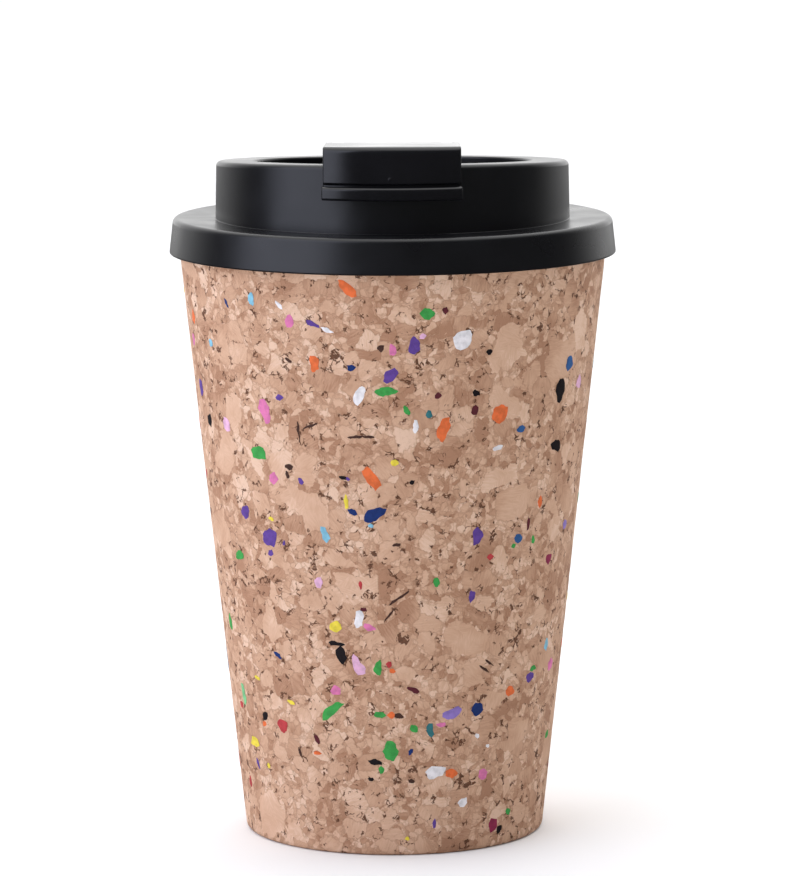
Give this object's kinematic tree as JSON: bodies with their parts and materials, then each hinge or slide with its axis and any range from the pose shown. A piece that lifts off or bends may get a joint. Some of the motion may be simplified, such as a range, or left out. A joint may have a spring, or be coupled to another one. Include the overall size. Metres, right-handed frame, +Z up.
{
  "type": "travel cup",
  "caption": "Rigid tapered travel cup: flecked cork sleeve over a plastic liner, push-on lid with a leaning collar and a flip tab that plugs its drinking slot.",
  "frame": {"origin": "centre of the base, on the plane that the cup stands on", "axes": "+Z up the cup's axis, -Y towards the front, where the flip tab's finger lip is, +X to the right seen from the front"},
  "size_m": [0.095, 0.095, 0.15],
  "materials": {
    "cork": "fine pressed cork with coloured rubber flecks, matt",
    "liner_plastic": "moulded, satin",
    "lid_plastic": "moulded, satin black",
    "tab_plastic": "moulded, satin black",
    "seal_silicone": "soft, matt grey",
    "stopper_silicone": "soft, matt dark grey",
    "pin_steel": "turned"
  },
  "bodies": {
    "cup": {"cork_sleeve": "cork", "cork_base": "cork", "inner_cup": "liner_plastic"},
    "lid": {"lid_body": "lid_plastic", "lid_seal": "seal_silicone", "hinge_pin": "pin_steel"},
    "tab": {"flip_tab": "tab_plastic", "tab_stopper": "stopper_silicone"}
  },
  "joints": [
    {"name": "lid_lift", "type": "slide", "parent": "cup", "child": "lid", "axis": [0, 0, 1], "range_m": [0, 0.06]},
    {"name": "tab_flip", "type": "hinge", "parent": "lid", "child": "tab", "pos_m": [0, -0.004, 0.1424], "axis": [-1, 0, 0], "range_deg": [0, 165]}
  ]
}
